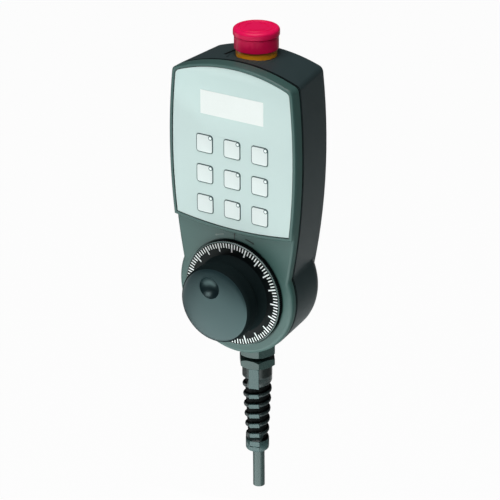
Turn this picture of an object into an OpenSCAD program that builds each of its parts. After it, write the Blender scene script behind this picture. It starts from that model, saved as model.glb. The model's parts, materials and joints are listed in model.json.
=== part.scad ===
// Hand-held control pendant with a membrane keypad, a handwheel, a stop head and a cable gland.
// Millimetres. +Z is up, the keypad faces -Y, and the flat back lies in the plane Y = 0.
// The origin is on the back, behind the middle key.

/* [Housing] */
// Width of the housing where its sides bulge most
body_w = 101.4; // [96:0.2:110]
// Depth from the rim of the keypad to the flat back
body_depth = 50; // [46:0.5:60]
// Height of the crown of the top above the middle key
crown_z = 82; // [78:0.5:90]
// Height of the widest place of the sides above the middle key
widest_z = 18.5; // [10:0.5:25]
// Radius of the bulging sides
side_r = 457; // [400:1:520]
// Radius of the arched top
top_r = 121; // [110:1:140]
// Radius of the two top corners
corner_r = 4.5; // [3:0.5:8]
// Depth of the front shell, rim to joint
front_depth = 9; // [8.5:0.1:11]
// Height of the keypad frame above the lower face
step_h = 3.2; // [2.5:0.1:4]
// Thickness of the shells
wall = 2.6; // [2:0.1:3.2]
// Thickness of the back
back_wall = 3; // [2.5:0.1:4]
// How far the sides of the rear shell draw in towards the back
side_draft = 4.9; // [3:0.1:6]
// Rounding of the back edges
edge_r = 3.2; // [2:0.1:4]
// Radius of the round end that carries the handwheel
bulge_r = 46.2; // [44:0.2:50]
// Front fillet of the round end
bulge_fillet = 3; // [1.5:0.1:4]
// How much the round end narrows towards the back
bulge_draft = 2.4; // [1:0.1:4]
// Radius of the rear edge of the round end
bulge_edge_r = 12; // [8:0.5:14]
// Height of the joint seal that shows between the shells
seal_h = 0.8; // [0.6:0.1:1.2]
// How deep the joint seal lies below the surface
seal_inset = 0.9; // [0.6:0.1:1.2]

/* [Keypad] */
// Distance between keys
key_pitch = 22; // [20:0.5:24]
// Side of a key cap
key_w = 13; // [11:0.5:15]
// Corner radius of a key cap
key_r = 2; // [1:0.25:3]
// Travel of a key
key_travel = 0.5; // [0.3:0.05:0.6]
// Thickness of the overlay film
film_t = 0.6; // [0.4:0.05:0.8]
// Width of the rim round the film
rim_w = 2.4; // [1.8:0.1:3.2]
// Depth of the film below the rim
film_recess = 0.5; // [0.3:0.1:0.8]
// Height of the lower corners of the keypad frame
frame_low_z = -34.7; // [-37:0.1:-33]
// How far the lower edge of the keypad frame bows down in the middle
frame_bow = 4; // [2:0.5:6]

/* [Handwheel] */
// Height of the handwheel axis above the middle key
wheel_z = -84; // [-90:0.5:-82]
// Radius of the dial disc
dial_r = 38.2; // [36:0.2:39]
// How far the dial stands above the lower face
dial_h = 3.8; // [3:0.1:5]
// Radius of the knob
knob_r = 27.8; // [25:0.2:29]
// Height of the knob above the dial
knob_h = 23.1; // [20:0.1:26]
// Radius of the waist behind the grip of the knob
waist_r = 25.5; // [23:0.5:26]
// Radius of the foot of the knob, where it meets the dial
foot_r = 28.5; // [26.5:0.5:29]
// Height of the waist above the dial
waist_h = 6.4; // [5:0.2:8]
// Radius of the finger dimple at its mouth
dimple_r = 8; // [7:0.25:9]
// Depth of the finger dimple
dimple_depth = 6; // [5:0.1:6.5]
// Distance of the finger dimple from the axis
dimple_off = 12.9; // [11:0.1:14]
// Angle of the finger dimple above the right-hand side
dimple_angle = 106; // [90:1:120]
// Diameter of the handwheel shaft
shaft_d = 6; // [5:0.5:8]
// Number of detents in a turn
detents = 100; // [50:25:100]

/* [Stop head] */
// Distance of the stop head and gland axis from the back
axis_depth = 18.5; // [17:0.5:20]
// Height of the seat for the stop head
seat_z = 80.5; // [78:0.5:81]
// Radius of the cap ring of the stop head
head_r = 16; // [15.5:0.1:17]
// Radius of the stop head below its cap ring
skirt_r = 15.15; // [15:0.05:15.4]
// Height of the stop head
head_h = 15.3; // [13:0.1:17]
// Height of the cap ring
cap_h = 5.7; // [4:0.1:7]
// Radius of the yellow collar
collar_r = 14; // [13.5:0.1:14.2]
// Height of the yellow collar
collar_h = 4.9; // [4.5:0.1:6]
// Travel of the stop head
stop_travel = 4; // [3:0.1:4]
// Diameter of the mounting hole of the stop actuator
actuator_d = 22; // [20:0.5:22.5]

/* [Cable gland] */
// Size across the flats of the gland hexagons
hex_af = 24; // [20:0.5:25]
// Lower face of the housing boss that carries the gland
boss_low_z = -131.5; // [-134:0.5:-131]
// Reach of the gland's boss up into the round end
boss_reach = 8.7; // [6:0.1:10]
// Height of the upper gland hexagon
body_hex_h = 9.1; // [7:0.1:10]
// Gap between the two gland hexagons
hex_gap = 2.6; // [1:0.1:3]
// Height of the lower gland hexagon
nut_hex_h = 6.2; // [5:0.1:9]
// Height of the round sleeve below the lower hexagon
sleeve_h = 7.8; // [6:0.1:10]
// Length of the bend protection
relief_l = 60.3; // [50:0.1:70]
// Radius of the bend protection at the sleeve
relief_r = 10.7; // [10:0.1:11.2]
// Radius of the end collar of the bend protection
collar_end_r = 8.4; // [8:0.1:9]
// Length of the end collar
collar_end_h = 8.7; // [6:0.1:16]
// Pitch of the coil
coil_pitch = 8; // [7:0.5:10]
// Width of the coil's turns along the axis
coil_w = 4.2; // [3.5:0.1:5.5]
// Straight length of the bend protection before it tapers
coil_straight = 10; // [0:0.5:15]
// Diameter of the cable
cable_d = 8.5; // [7:0.1:9]

/* [Clearances] */
// Gap between a moving piece and its neighbour
gap = 0.3; // [0.25:0.05:0.4]
// Radial clearance of a running fit
fit = 0.05; // [0.03:0.01:0.08]
// Radial clearance of a piece that is put in and stays
slip = 0.1; // [0.05:0.01:0.15]

/* [Hidden] */
keys = 9;
key_names = [for (i = [1:keys]) str("key_", i)];
$fn = 72;

// Planes of the housing, front to back
rim_y = -body_depth;
face_y = rim_y + step_h;
joint_y = rim_y + front_depth;
rear_y = joint_y + seal_h;
front_inner_y = face_y + wall;
floor_y = -back_wall;
half_w = body_w / 2;
bulge_edge_c = [bulge_r - bulge_draft - bulge_edge_r, -bulge_edge_r];
side_c = [half_w - side_r, widest_z];
top_c = [0, crown_z - top_r];
outline_n = 14;

// Layers of the keypad, front to back
film_y = rim_y + film_recess;
film_back_y = film_y + film_t;
flange_t = 0.4;
dome_h = 0.4;
spacer_t = gap + flange_t + key_travel + dome_h + 0.2;
spacer_back_y = film_back_y + spacer_t;
circuit_t = 0.4;
pocket_y = spacer_back_y + circuit_t;
key_proud = 0.3;
flange_w = key_w + 2;
window_w = key_w + 2 * gap;
chamber_w = flange_w + 2 * gap + 0.2;
frame_r = (pow(half_w - 3, 2) + pow(frame_bow, 2)) / (2 * frame_bow);
frame_c = [0, frame_low_z - frame_bow + frame_r];

// Axis of the stop head and of the gland, with the cable's room round it
axis_y = -axis_depth;
cable_r = cable_d / 2;
bore_r = cable_r + 1.5;
lead_gap = 2;

// Handwheel stations along its axis
dial_y = face_y - dial_h;
dial_wall = 1.8;
hub_r = 9.5;
recess_y = face_y + 1.4;
dial_gap = 0.8;
recess_r = dial_r + dial_gap;
pad_y = recess_y + wall;
dial_back_y = recess_y - 0.6;
knob_y = dial_y - knob_h;
shaft_r = shaft_d / 2;
bush_r = shaft_r + 2.5;
encoder_r = 23;
encoder_wall = 2;
encoder_inner_y = pad_y + encoder_wall;
encoder_back_y = axis_y - cable_r - lead_gap;
shaft_back_y = encoder_back_y - encoder_wall - 1;
ring_y = encoder_inner_y + 1;
ring_t = 2.4;
ring_r = 13;
tooth_h = 0.5;
code_hub = 1.5;
code_y = ring_y + ring_t + code_hub + gap;
sensor_y = code_y + 3;

// Stop head stations along its axis
actuator_r = actuator_d / 2;
head_low_z = seat_z + collar_h;
head_top_z = head_low_z + head_h;
pit_z = head_low_z + stop_travel + 0.4;
seat_r = skirt_r + 0.65;
seat_low_z = seat_z - 4.5;
nut_t = 3;
nut_r = 15.6;
barrel_low_z = seat_z - 33;
chamber_low_z = barrel_low_z + 4;
guide_low_z = seat_z - 2.5;
stem_r = 7.4;
rod_r = 4.5;
shoulder_z = guide_low_z - gap - 4;
flange_r = 8.8;
chamber_r = 9.2;
spring_r = 6.6;
inset_r = 11.6;
spigot_r = 6;
spigot_h = 4;
block_h = 28;
block_w = 20;
block_t = 19;

// Gland stations along its axis
hex_r = hex_af / 2 / cos(30);
hex_turn = -53.4;
body_low_z = boss_low_z - seal_h - body_hex_h;
nut_top_z = body_low_z - hex_gap;
sleeve_z = nut_top_z - nut_hex_h;
relief_z = sleeve_z - sleeve_h;
relief_end_z = relief_z - relief_l;
coil_low_z = relief_end_z + collar_end_h;
ring_low_z = relief_z - 1;
taper_z = relief_z - coil_straight;
thread_r = 8;
boss_r = 14;
boss_top_z = wheel_z - bulge_r + boss_reach;

// Places of the housing screws and of the board posts, as [x, z]
screw_high = [36.5, 58];
screw_mid = [35, -42];
screw_low = [26, 21];
screw_at = [for (s = [-1, 1])
    each [[s * screw_high[0], screw_high[1]], [s * screw_mid[0], screw_mid[1]],
          [s * screw_low[0], wheel_z - screw_low[1]]]];
post_x = 26;
post_low_z = -28;
post_high_z = 58;
post_at = [for (s = [-1, 1], z = [post_low_z, post_high_z]) [s * post_x, z]];
board_side = 4;
board_end = 6;
magnet_at = [30, wheel_z];
magnet_r = 12.5;
magnet_t = 4.8;
board_y = front_inner_y + 6;
board_t = 1.6;
insert_y = joint_y + 7;
insert_l = 6;
screw_reach = 5.5;
head_rest_y = -11;

// The free stretch of the cable, from inside the gland to its cut end: [x, y, z]
cable_route = [
    [0, -18.5, -140], [0, -18.5, -147], [0.05, -18.5, -154], [0.1, -18.5, -161], [0.15, -18.5, -168],
    [0.25, -18.5, -175], [0.35, -18.5, -182], [0.5, -18.5, -189], [0.65, -18.5, -196],
    [0.8, -18.5, -203], [0.95, -18.5, -210], [1.05, -18.5, -217], [1.1, -18.5, -224],
    [1.15, -18.5, -231], [1.2, -18.5, -239], [1.2, -18.5, -247.7]];

// ---- Outlines -------------------------------------------------------------------------------

// Where two circles cross, on the side that s chooses
function crossing(c0, r0, c1, r1, s) =
    let (v = c1 - c0, d = norm(v), a = (r0 * r0 - r1 * r1 + d * d) / (2 * d))
    c0 + v * (a / d) + s * sqrt(r0 * r0 - a * a) * [-v[1], v[0]] / d;
function heading(c, p) = atan2(p[1] - c[1], p[0] - c[0]);
function arc(c, r, a0, a1, n) =
    [for (i = [0:n]) let (a = a0 + (a1 - a0) * i / n) c + r * [cos(a), sin(a)]];

// Right half of the barrel outline above a heading, drawn in by si at the sides and ti at the top
function half_outline(si, ti, low) =
    let (rs = side_r - si, rt = top_r - ti,
         cc = crossing(side_c, rs - corner_r, top_c, rt - corner_r, 1),
         turn_in = heading(side_c, cc), turn_out = heading(top_c, cc),
         side = arc(side_c, rs, low, turn_in, outline_n),
         corner = arc(cc, corner_r, turn_in, turn_out, 6),
         crown = arc(top_c, rt, turn_out, 90, outline_n))
    concat(side, [for (i = [1:5]) corner[i]], [for (i = [0:outline_n - 1]) crown[i]]);
function closed(half, ends) =
    concat(half, ends, [for (i = [len(half) - 1:-1:0]) [-half[i][0], half[i][1]]]);

// Closed outline of the barrel, down to the handwheel axis
function barrel_ring(si, ti) =
    closed(half_outline(si, ti, asin((wheel_z - side_c[1]) / (side_r - si))), [[0, crown_z - ti]]);

// Closed outline of the keypad frame, whose lower edge bows down
function frame_ring(i) =
    let (r = frame_r - i, foot = crossing(side_c, side_r - i, frame_c, r, -1))
    concat(closed(half_outline(i, i, heading(side_c, foot)), [[0, crown_z - i]]),
           [for (k = [1:11]) let (a = heading(frame_c, [-foot[0], foot[1]]) +
                (heading(frame_c, foot) - heading(frame_c, [-foot[0], foot[1]])) * k / 12)
                frame_c + r * [cos(a), sin(a)]]);
module barrel(si, ti) {
    polygon(barrel_ring(si, ti));
}
module frame_area(i) {
    polygon(frame_ring(i));
}
module rounded_square(w, r) {
    square([w, w - 2 * r], center = true);
    square([w - 2 * r, w], center = true);
    for (s = [-1, 1], t = [-1, 1]) translate([s, t] * (w / 2 - r)) circle(r, $fn = 32);
}

// ---- Placing --------------------------------------------------------------------------------

// Stands a flat shape in the XZ plane and gives it the depth from y0 back to y1
module between(y0, y1) {
    translate([0, y1, 0]) rotate([90, 0, 0]) linear_extrude(y1 - y0) children();
}
module peg(x, z, r, y0, y1) {
    translate([x, y0, z]) rotate([-90, 0, 0]) cylinder(r = r, h = y1 - y0);
}
// Turns a profile of [radius, y] about the handwheel axis
module wheel_turned() {
    translate([0, 0, wheel_z]) rotate([-90, 0, 0]) rotate_extrude($fn = 120) children();
}
// Turns a profile of [radius, z] about the axis of the stop head and the gland
module upright() {
    translate([0, axis_y, 0]) rotate_extrude() children();
}
module ring_at(r_in, r_out, z0, z1) {
    upright() translate([r_in, z0]) square([r_out - r_in, z1 - z0]);
}
module post_z(r, z0, z1) {
    translate([0, axis_y, z0]) cylinder(r = r, h = z1 - z0);
}
module wheel_ring(r_in, r_out, y0, y1) {
    wheel_turned() translate([r_in, y0]) square([r_out - r_in, y1 - y0]);
}
module key_places() {
    for (row = [0:2], col = [0:2])
        translate([(col - 1) * key_pitch, 0, (1 - row) * key_pitch]) children();
}
// Joins rings of points, all of one length, into a solid: clockwise seen from the first ring's end
module skin(rings) {
    n = len(rings[0]);
    m = len(rings);
    polyhedron(
        points = [for (r = rings) each r],
        faces = concat(
            [[for (j = [0:n - 1]) j]],
            [[for (j = [n - 1:-1:0]) (m - 1) * n + j]],
            [for (i = [0:m - 2], j = [0:n - 1])
                let (k = (j + 1) % n, a = i * n, b = (i + 1) * n)
                each [[a + j, b + j, b + k], [a + j, b + k, a + k]]]),
        convexity = 8);
}
// Joins outlines of [x, z], each with its own depth, given from the back to the front
module moulded(levels) {
    skin([for (l = levels) [for (p = l[1]) [p[0], l[0], p[1]]]]);
}

// ---- Housing --------------------------------------------------------------------------------

// Front half of the round end, a turned dish
module front_bulge() {
    fillet_from = -85;
    wheel_turned() difference() {
        polygon(concat([[0, joint_y], [0, face_y]],
            arc([bulge_r - bulge_fillet, face_y + bulge_fillet], bulge_fillet, fillet_from, 0, 6),
            [[bulge_r, joint_y]]));
        translate([-1, face_y - 1]) square([recess_r + 1, recess_y - face_y + 1]);
        translate([-1, pad_y]) square([bulge_r - wall + 1, joint_y - pad_y + 1]);
    }
}

module front_shell() {
    soft_edge = 1.6;
    chamfer = 0.8;
    frame_in = 0.05;
    color("#5f7a76") difference() {
        union() {
            difference() {
                union() {
                    moulded([[joint_y, barrel_ring(0, 0)],
                             [face_y + soft_edge, barrel_ring(0, 0)],
                             [face_y + soft_edge * 0.3, barrel_ring(soft_edge * 0.3, soft_edge * 0.3)],
                             [face_y, barrel_ring(soft_edge, soft_edge)]]);
                    moulded([[joint_y - 1, frame_ring(frame_in)],
                             [rim_y + chamfer, frame_ring(frame_in)],
                             [rim_y, frame_ring(frame_in + chamfer)]]);
                }
                between(front_inner_y, joint_y + 1) barrel(wall, wall);
                peg(0, wheel_z, bulge_r - bulge_fillet - 1, rim_y - 1, joint_y + 1);
                between(rim_y - 1, pocket_y) frame_area(rim_w);
            }
            front_bulge();
            for (p = screw_at) peg(p[0], p[1], 4.4, front_inner_y - 0.5, insert_y);
            for (p = post_at) peg(p[0], p[1], 3, front_inner_y - 0.5, board_y);
        }
        for (p = screw_at) peg(p[0], p[1], 2.6, insert_y - insert_l - 1, insert_y + 1);
        for (p = post_at) peg(p[0], p[1], 1.1, board_y - 5, board_y + 1);
        peg(0, wheel_z, bush_r + slip, face_y - 5, joint_y + 1);
    }
}

// Rear half of the round end: solid, or the space inside its wall
module rear_bulge() {
    wheel_turned() polygon(concat(
        [[0, rear_y], [bulge_r, rear_y]],
        arc(bulge_edge_c, bulge_edge_r, 0, 90, 9), [[0, 0]]));
}
module rear_bulge_space() {
    inner_r = bulge_edge_r - wall;
    wheel_turned() polygon(concat(
        [[0, rear_y - 1], [bulge_r - wall, rear_y - 1]],
        arc(bulge_edge_c, inner_r, 0, asin((floor_y - bulge_edge_c[1]) / inner_r), 5),
        [[0, floor_y]]));
}
module rear_barrel() {
    moulded(concat(
        [for (a = [90:-18:0]) [edge_r * (sin(a) - 1),
            barrel_ring(side_draft + edge_r * (1 - cos(a)), edge_r * (1 - cos(a)))]],
        [[rear_y, barrel_ring(0, 0)]]));
}
module rear_barrel_space() {
    moulded([[floor_y, barrel_ring(wall + side_draft, wall)], [rear_y - 1, barrel_ring(wall, wall)]]);
}

module rear_shell() {
    boss_bore_r = 1.7;
    color("#39484b") difference() {
        union() {
            difference() {
                union() {
                    rear_barrel();
                    rear_bulge();
                }
                rear_barrel_space();
                rear_bulge_space();
            }
            post_z(boss_r, boss_low_z, boss_top_z);
            post_z(seat_r + 1, seat_low_z, seat_z);
            for (p = screw_at) peg(p[0], p[1], 4.4, insert_y, floor_y + 0.5);
            for (z = magnet_at) peg(0, z, magnet_r + 2.5, floor_y - 4.5, floor_y + 0.5);
        }
        post_z(seat_r, seat_z, crown_z + 5);
        post_z(actuator_r + slip, seat_low_z - 1, crown_z + 5);
        post_z(thread_r + slip, boss_low_z - 1, boss_top_z + 1);
        for (p = screw_at) {
            peg(p[0], p[1], boss_bore_r, insert_y - 1, 1);
            peg(p[0], p[1], 3.2, head_rest_y, 1);
        }
        for (z = magnet_at) {
            peg(0, z, magnet_r + slip, -magnet_t - 0.2, 1);
            peg(0, z, 1.5, floor_y - 4, 1);
        }
        // Short alignment slot beside the seat
        translate([-13.6, axis_y - 12.5, seat_z + 0.2]) rotate([0, 0, 15])
            translate([-0.7, -5, 0]) cube([1.4, 10, 5]);
    }
}

module housing_seal() {
    seal_w = wall - seal_inset - 0.3;
    color("#0c1012") difference() {
        union() {
            between(joint_y, rear_y) barrel(seal_inset, seal_inset);
            wheel_ring(0, bulge_r - seal_inset, joint_y, rear_y);
        }
        between(joint_y - 1, rear_y + 1) barrel(seal_inset + seal_w, seal_inset + seal_w);
        wheel_ring(0, bulge_r - seal_inset - seal_w, joint_y - 1, rear_y + 1);
    }
}

module housing_screws() {
    color("silver") for (p = screw_at) difference() {
        union() {
            peg(p[0], p[1], 1.45, insert_y - screw_reach, head_rest_y);
            peg(p[0], p[1], 2.75, head_rest_y, head_rest_y + 3);
        }
        translate([p[0], head_rest_y + 1.4, p[1]]) rotate([-90, 0, 0])
            cylinder(r = 1.5, h = 2, $fn = 6);
    }
}

module brass_inserts() {
    color("#c9a24a") for (p = screw_at) difference() {
        peg(p[0], p[1], 2.55, insert_y - insert_l, insert_y);
        peg(p[0], p[1], 1.5, insert_y - insert_l - 1, insert_y + 1);
    }
}

module magnets() {
    color("#b9bcbe") for (z = magnet_at) difference() {
        peg(0, z, magnet_r, -magnet_t - 0.2, -0.2);
        peg(0, z, 2.2, -magnet_t - 1, 0);
        peg(0, z, 4.2, -2.2, 0);
    }
}

module magnet_screws() {
    color("silver") for (z = magnet_at) {
        peg(0, z, 1.45, floor_y - 3.5, -2.2);
        difference() {
            peg(0, z, 3.9, -2.2, -0.6);
            translate([0, -1.2, z]) rotate([-90, 0, 0]) cylinder(r = 1.4, h = 2, $fn = 6);
        }
    }
}

// ---- Keypad ---------------------------------------------------------------------------------

module keypad_film() {
    color("#cfe0df") difference() {
        between(film_y, film_back_y) frame_area(rim_w + slip);
        key_places() between(film_y - 1, film_back_y + 1) rounded_square(window_w, key_r + gap);
    }
}

module keypad_spacer() {
    color("#e8e4d8") difference() {
        between(film_back_y, spacer_back_y) frame_area(rim_w + slip);
        key_places() between(film_back_y - 1, spacer_back_y + 1) square(chamber_w, center = true);
    }
}

module keypad_circuit() {
    color("#7fa08a") between(spacer_back_y, pocket_y) frame_area(rim_w + slip);
}

module contact_domes() {
    color("#c8ccce") key_places() translate([0, spacer_back_y - dome_h, 0]) rotate([-90, 0, 0])
        cylinder(r1 = 3, r2 = 5, h = dome_h);
}

module key(i) {
    row = floor((i - 1) / 3);
    col = (i - 1) % 3;
    color("#e3ecea") translate([(col - 1) * key_pitch, 0, (1 - row) * key_pitch]) {
        between(film_y - key_proud, film_back_y + gap) rounded_square(key_w, key_r);
        between(film_back_y + gap, film_back_y + gap + flange_t)
            rounded_square(flange_w, key_r + 1);
    }
}

// ---- Electronics ----------------------------------------------------------------------------

module main_board() {
    color("#2f6b4a") difference() {
        translate([-post_x - board_side, board_y, post_low_z - board_end])
            cube([2 * (post_x + board_side), board_t, post_high_z - post_low_z + 2 * board_end]);
        for (p = post_at) peg(p[0], p[1], 1.3, board_y - 1, board_y + board_t + 1);
    }
}

module board_screws() {
    color("silver") for (p = post_at) {
        peg(p[0], p[1], 1.05, board_y - 4.5, board_y + board_t);
        peg(p[0], p[1], 2.2, board_y + board_t, board_y + board_t + 1.5);
    }
}

module board_components() {
    top_y = board_y + board_t;
    chip_w = 17;
    cap_z = 49;
    color("#22262a") {
        translate([-chip_w / 2, top_y, 2]) cube([chip_w, 1.6, chip_w]);
        translate([-24, top_y, 26]) cube([12, 2, 8]);
        translate([12, top_y, 30]) cube([9, 1.8, 9]);
        translate([-18, top_y, -20]) cube([14, 5, 6]);
        for (i = [0:3]) peg(-24 + i * 4, cap_z, 1.6, top_y, top_y + 3.2);
    }
}

module terminal_block() {
    top_y = board_y + board_t;
    ways = 6;
    color("#3c8f5c") difference() {
        translate([0, top_y, -30]) cube([ways * 3.8, 8, 8]);
        for (i = [0:ways - 1]) translate([(i + 0.5) * 3.8, top_y + 4, -31])
            cylinder(r = 1.2, h = 5);
    }
}

// ---- Handwheel ------------------------------------------------------------------------------

dimple_ball = (pow(dimple_r, 2) + pow(dimple_depth, 2)) / (2 * dimple_depth);

module handwheel_knob() {
    crown = 2.6;
    waist_y = dial_y - waist_h;
    sweep = foot_r - waist_r;
    curve_r = (pow(waist_h, 2) + pow(sweep, 2)) / (2 * sweep);
    color("#22282b") difference() {
        wheel_turned() {
            difference() {
                union() {
                    translate([0, knob_y]) square([knob_r, waist_y - knob_y]);
                    translate([0, waist_y]) square([foot_r, waist_h]);
                }
                translate([waist_r + curve_r, waist_y]) circle(curve_r);
                // Rounded crown
                translate([knob_r - crown, knob_y]) difference() {
                    translate([0, -1]) square([crown + 1, crown + 1]);
                    translate([0, crown]) circle(crown);
                }
            }
            translate([0, dial_y - 1]) square([hub_r, dial_wall + 1]);
        }
        translate([dimple_off * cos(dimple_angle), knob_y + dimple_depth - dimple_ball,
                   wheel_z + dimple_off * sin(dimple_angle)]) sphere(dimple_ball);
        peg(0, wheel_z, shaft_r, dial_y - 14, dial_y + 5);
    }
}

module dial_disc() {
    lip = 0.5;
    color("#15191a") wheel_turned() difference() {
        polygon([[hub_r + slip, dial_y], [dial_r - lip, dial_y], [dial_r, dial_y + lip],
                 [dial_r, dial_back_y], [hub_r + slip, dial_back_y]]);
        translate([0, dial_y + dial_wall]) square([dial_r - dial_wall, 10]);
    }
}

module wheel_shaft() {
    groove = 0.4;
    color("silver") difference() {
        peg(0, wheel_z, shaft_r - 0.02, dial_y - 13.5, shaft_back_y);
        wheel_ring(shaft_r - groove, shaft_r + 1, shaft_back_y - 1.6, shaft_back_y - 0.8);
    }
}

module encoder_bush() {
    color("#b9bcbe") wheel_turned() difference() {
        union() {
            translate([0, recess_y - 2.6]) square([bush_r, encoder_inner_y - recess_y + 2.6]);
            translate([0, pad_y]) square([bush_r + 2.5, encoder_inner_y - pad_y]);
        }
        translate([-1, recess_y - 3]) square([shaft_r + fit + 1 - 0.02, 20]);
    }
}

module bush_nut() {
    color("silver") difference() {
        translate([0, recess_y - 2.2, wheel_z]) rotate([-90, 0, 0])
            cylinder(r = 8.1, h = 2.2, $fn = 6);
        peg(0, wheel_z, bush_r + slip / 2, recess_y - 5, recess_y + 1);
    }
}

module encoder_body() {
    color("#2b3033") wheel_turned() difference() {
        translate([0, pad_y]) square([encoder_r, encoder_back_y - encoder_wall - pad_y]);
        translate([-1, pad_y - 1]) square([bush_r + 2.5 + slip + 1, encoder_wall + 2]);
        translate([-1, encoder_inner_y])
            square([encoder_r - encoder_wall + 1, encoder_back_y - pad_y]);
    }
}

module encoder_cover() {
    color("#24282b") peg(0, wheel_z, encoder_r, encoder_back_y - encoder_wall, encoder_back_y);
}

module code_disc() {
    slots = 50;
    color("#8d9194") difference() {
        union() {
            wheel_ring(shaft_r, 19, code_y, code_y + 0.8);
            wheel_ring(shaft_r, 6, code_y - code_hub, code_y + 0.8);
        }
        for (i = [0:slots - 1])
            translate([0, code_y - 1, wheel_z]) rotate([0, i * 360 / slots, 0])
                translate([15.5, 0, -0.45]) cube([2.5, 3, 0.9]);
    }
}

module encoder_board() {
    board_r = encoder_r - encoder_wall - slip;
    color("#2f6b4a") {
        wheel_ring(shaft_r + 2, board_r, sensor_y, sensor_y + 1.2);
        translate([-4, sensor_y - 1.6, wheel_z + 14.5]) cube([8, 1.6, 5]);
    }
}

module detent_ring() {
    valley_r = ring_r - tooth_h;
    color("#d8d3c4") difference() {
        translate([0, ring_y + ring_t, wheel_z]) rotate([90, 0, 0]) linear_extrude(ring_t)
            polygon([for (i = [0:detents - 1], j = [0, 0.5])
                let (a = 90 + (i + j) * 360 / detents, r = j == 0 ? valley_r : ring_r)
                r * [cos(a), sin(a)]]);
        peg(0, wheel_z, shaft_r, ring_y - 1, ring_y + ring_t + 1);
    }
}

// Leaf spring with a rounded nose that rests over the detent ring
module detent_spring() {
    nose_z = wheel_z + ring_r + gap + 1;
    leaf_t = 0.4;
    color("silver") {
        peg(0, nose_z, 1, ring_y + 0.2, ring_y + ring_t - 0.2);
        translate([-12, ring_y + 0.2, nose_z + 0.8])
            cube([14, ring_t - 0.4, leaf_t]);
        translate([-12, encoder_inner_y, nose_z + 0.8])
            cube([3, ring_y + ring_t - 0.2 - encoder_inner_y, leaf_t + 1]);
    }
}

// ---- Stop head ------------------------------------------------------------------------------

module estop_head() {
    cap_z = head_top_z - cap_h;
    round_r = 1.5;
    color("#c00f2e") upright() difference() {
        union() {
            translate([0, head_low_z]) square([skirt_r, head_h - round_r]);
            translate([0, cap_z]) square([head_r, cap_h - round_r]);
            translate([0, cap_z]) square([head_r - round_r, cap_h]);
            translate([head_r - round_r, head_top_z - round_r]) circle(round_r);
        }
        translate([-1, head_low_z - 1]) square([collar_r + 0.4 + 1, pit_z - head_low_z + 1]);
        translate([-1, pit_z - 1]) square([spigot_r + fit + 1, spigot_h + gap + 1]);
        translate([-1, head_top_z - 0.5]) square([inset_r + 1, 1]);
    }
}

module estop_stem() {
    rod_z = barrel_low_z + 1.5;
    color("#1d2022") upright() {
        translate([0, rod_z]) square([rod_r, shoulder_z - rod_z]);
        translate([0, shoulder_z]) square([flange_r, guide_low_z - gap - shoulder_z]);
        translate([0, shoulder_z]) square([stem_r, pit_z - gap - shoulder_z]);
        translate([0, pit_z - gap]) square([spigot_r, spigot_h]);
    }
}

module estop_collar() {
    color("#d9991c") upright() difference() {
        translate([actuator_r + fit, seat_z]) polygon([
            [0, 0], [collar_r - actuator_r - fit, 0], [collar_r - actuator_r - fit, collar_h - 0.4],
            [collar_r - actuator_r - fit - 0.4, collar_h], [0, collar_h]]);
        translate([0, seat_z - 1]) square([collar_r - 0.8, 1.5]);
    }
}

module estop_gasket() {
    color("#0c1012") ring_at(actuator_r + slip, collar_r - 0.8 - slip, seat_z, seat_z + 0.5);
}

module estop_body() {
    color("#1d2022") upright() difference() {
        translate([0, barrel_low_z]) square([actuator_r, head_low_z - gap - barrel_low_z]);
        translate([-1, barrel_low_z - 1]) square([rod_r + fit + 1, head_low_z - barrel_low_z + 2]);
        translate([-1, chamber_low_z]) square([chamber_r + 1, guide_low_z - chamber_low_z]);
        translate([-1, guide_low_z - 1]) square([stem_r + fit + 1, head_low_z - guide_low_z + 2]);
    }
}

module estop_nut() {
    color("silver") translate([0, axis_y, seat_low_z - nut_t]) difference() {
        cylinder(r = nut_r, h = nut_t, $fn = 6);
        translate([0, 0, -1]) cylinder(r = actuator_r + slip / 2, h = nut_t + 2);
    }
}

module contact_block() {
    top_z = barrel_low_z;
    color("#2b3033") difference() {
        translate([-block_w / 2, axis_y - block_t / 2, top_z - block_h])
            cube([block_w, block_t, block_h]);
        translate([0, axis_y, top_z - 7]) cylinder(r = rod_r + 0.5, h = 8);
        for (s = [-1, 1], t = [-1, 1])
            translate([s * 6, axis_y + t * 5.5, top_z - block_h - 1]) cylinder(r = 1.6, h = 6);
    }
}

// ---- Coils ----------------------------------------------------------------------------------

// Turns flat points of [radius, z] to the angle a about the axis of the stop head and the gland
function turned(pts, a) = [for (p = pts) [p[0] * cos(a), axis_y + p[0] * sin(a), p[1]]];

// A wire coil of mean radius r that falls from z0 to z1
module helix(r, z0, z1, pitch, section, per_turn) {
    turns = (z0 - z1) / pitch;
    n = ceil(turns * per_turn);
    skin([for (i = [0:n])
        turned([for (s = section) s + [r, z0 + (z1 - z0) * i / n]], -360 * turns * i / n)]);
}

function oval(a, b, n) =
    [for (i = [0:n - 1]) let (t = 180 / n + 360 * i / n) [a * cos(t), b * sin(t)]];

module estop_spring() {
    wire_r = 0.7;
    color("silver") helix(spring_r, shoulder_z - wire_r - 0.1, chamber_low_z + wire_r + 0.1,
        3.6, oval(wire_r, wire_r, 6), 12);
}

// ---- Cable gland ----------------------------------------------------------------------------

module hexagon(z0, z1) {
    translate([0, axis_y, z0]) rotate([0, 0, hex_turn]) cylinder(r = hex_r, h = z1 - z0, $fn = 6);
}

// A hexagon whose corners are turned off at its lower end, or at both ends
module gland_hex(z0, z1, both) {
    bevel = 1.1;
    intersection() {
        hexagon(z0, z1);
        upright() polygon([
            [0, z0], [hex_r - bevel * 1.5, z0], [hex_r, z0 + bevel], [hex_r, both ? z1 - bevel : z1],
            [both ? hex_r - bevel * 1.5 : hex_r, z1], [0, z1]]);
    }
}

module gland_seal() {
    color("#0c1012") ring_at(thread_r + slip, boss_r - 3, boss_low_z - seal_h, boss_low_z);
}

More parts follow.
